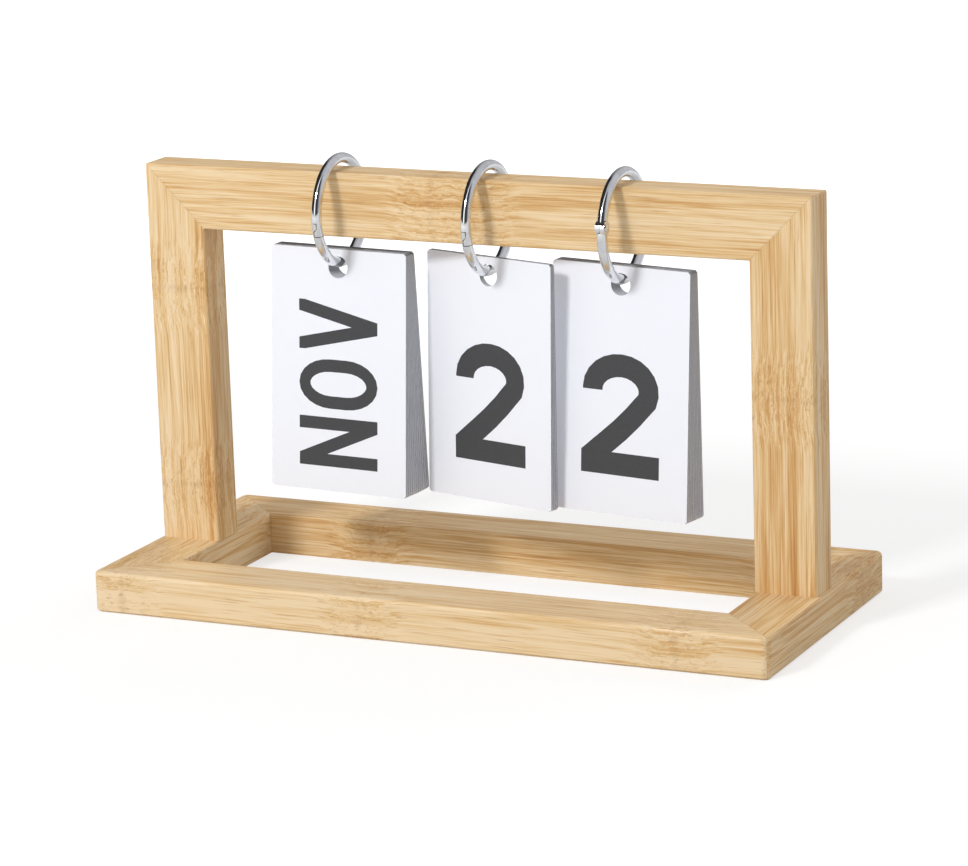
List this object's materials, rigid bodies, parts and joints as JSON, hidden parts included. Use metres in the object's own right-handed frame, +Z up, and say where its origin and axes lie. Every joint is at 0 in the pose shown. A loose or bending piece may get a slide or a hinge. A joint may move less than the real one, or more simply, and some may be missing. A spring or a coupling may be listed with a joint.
{
  "type": "flip card desk calendar",
  "caption": "Bamboo frame desk calendar with packs of month and day cards hanging on snap rings from the top rail, standing on an open bamboo base frame.",
  "frame": {"origin": "centre of the base's footprint, on the surface that the base stands on", "axes": "+X along the width, to the right as the cards are read; +Y to the back; +Z up"},
  "size_m": [0.2224, 0.099, 0.1378],
  "materials": {
    "bamboo": "satin",
    "chrome": "polished",
    "card": "matte",
    "screw_steel": "satin"
  },
  "bodies": {
    "frame": {"base_back_rail": "bamboo", "base_front_rail": "bamboo", "base_left_rail": "bamboo", "base_right_rail": "bamboo", "left_post": "bamboo", "right_post": "bamboo", "top_rail": "bamboo", "post_screws": "screw_steel"},
    "month_ring": {"month_ring_lower_half": "chrome", "month_ring_rivet": "chrome"},
    "month_ring_upper_half": {"month_ring_upper_half": "chrome"},
    "month_pack": {"month_card_apr": "card", "month_card_aug": "card", "month_card_dec": "card", "month_card_feb": "card", "month_card_jan": "card", "month_card_jul": "card", "month_card_jun": "card", "month_card_mar": "card", "month_card_may": "card", "month_card_oct": "card", "month_card_sep": "card"},
    "month_front_card": {"month_card_nov": "card"},
    "tens_ring": {"tens_ring_lower_half": "chrome", "tens_ring_rivet": "chrome"},
    "tens_ring_upper_half": {"tens_ring_upper_half": "chrome"},
    "tens_pack": {"tens_card_0": "card", "tens_card_1": "card", "tens_card_3": "card"},
    "tens_front_card": {"tens_card_2": "card"},
    "ones_ring": {"ones_ring_lower_half": "chrome", "ones_ring_rivet": "chrome"},
    "ones_ring_upper_half": {"ones_ring_upper_half": "chrome"},
    "ones_pack": {"ones_card_0": "card", "ones_card_2": "card", "ones_card_3": "card", "ones_card_4": "card", "ones_card_5": "card", "ones_card_6": "card", "ones_card_7": "card", "ones_card_8": "card", "ones_card_9": "card"},
    "ones_back_card": {"ones_card_1": "card"}
  },
  "joints": [
    {"name": "month_ring_slide", "type": "slide", "parent": "frame", "child": "month_ring", "axis": [1, 0, 0], "range_m": [-0.017, 0.001]},
    {"name": "month_ring_open", "type": "hinge", "parent": "month_ring", "child": "month_ring_upper_half", "pos_m": [-0.0458, 0.01571, 0.12324], "axis": [-1, 0, 0], "range_deg": [0, 70]},
    {"name": "month_pack_swing", "type": "hinge", "parent": "month_ring", "child": "month_pack", "pos_m": [-0.0458, 0, 0.12019], "axis": [-1, 0, 0], "range_deg": [-20, 20]},
    {"name": "month_front_card_turn", "type": "hinge", "parent": "month_pack", "child": "month_front_card", "pos_m": [-0.0458, 0, 0.12019], "axis": [-1, 0, 0], "range_deg": [0, 95]},
    {"name": "tens_ring_slide", "type": "slide", "parent": "frame", "child": "tens_ring", "axis": [1, 0, 0], "range_m": [-0.0015, 0.0015]},
    {"name": "tens_ring_open", "type": "hinge", "parent": "tens_ring", "child": "tens_ring_upper_half", "pos_m": [0.004, 0.01571, 0.12324], "axis": [-1, 0, 0], "range_deg": [0, 70]},
    {"name": "tens_pack_swing", "type": "hinge", "parent": "tens_ring", "child": "tens_pack", "pos_m": [0.004, 0, 0.12019], "axis": [-1, 0, 0], "range_deg": [0, 20]},
    {"name": "tens_front_card_turn", "type": "hinge", "parent": "tens_pack", "child": "tens_front_card", "pos_m": [0.004, 0, 0.12019], "axis": [-1, 0, 0], "range_deg": [0, 95]},
    {"name": "ones_ring_slide", "type": "slide", "parent": "frame", "child": "ones_ring", "axis": [1, 0, 0], "range_m": [-0.003, 0.015]},
    {"name": "ones_ring_open", "type": "hinge", "parent": "ones_ring", "child": "ones_ring_upper_half", "pos_m": [0.0481, -0.01584, 0.12241], "axis": [1, 0, 0], "range_deg": [0, 70]},
    {"name": "ones_pack_swing", "type": "hinge", "parent": "ones_ring", "child": "ones_pack", "pos_m": [0.0481, 0, 0.12019], "axis": [1, 0, 0], "range_deg": [0, 20]},
    {"name": "ones_back_card_turn", "type": "hinge", "parent": "ones_pack", "child": "ones_back_card", "pos_m": [0.0481, 0, 0.12019], "axis": [1, 0, 0], "range_deg": [0, 95]}
  ]
}
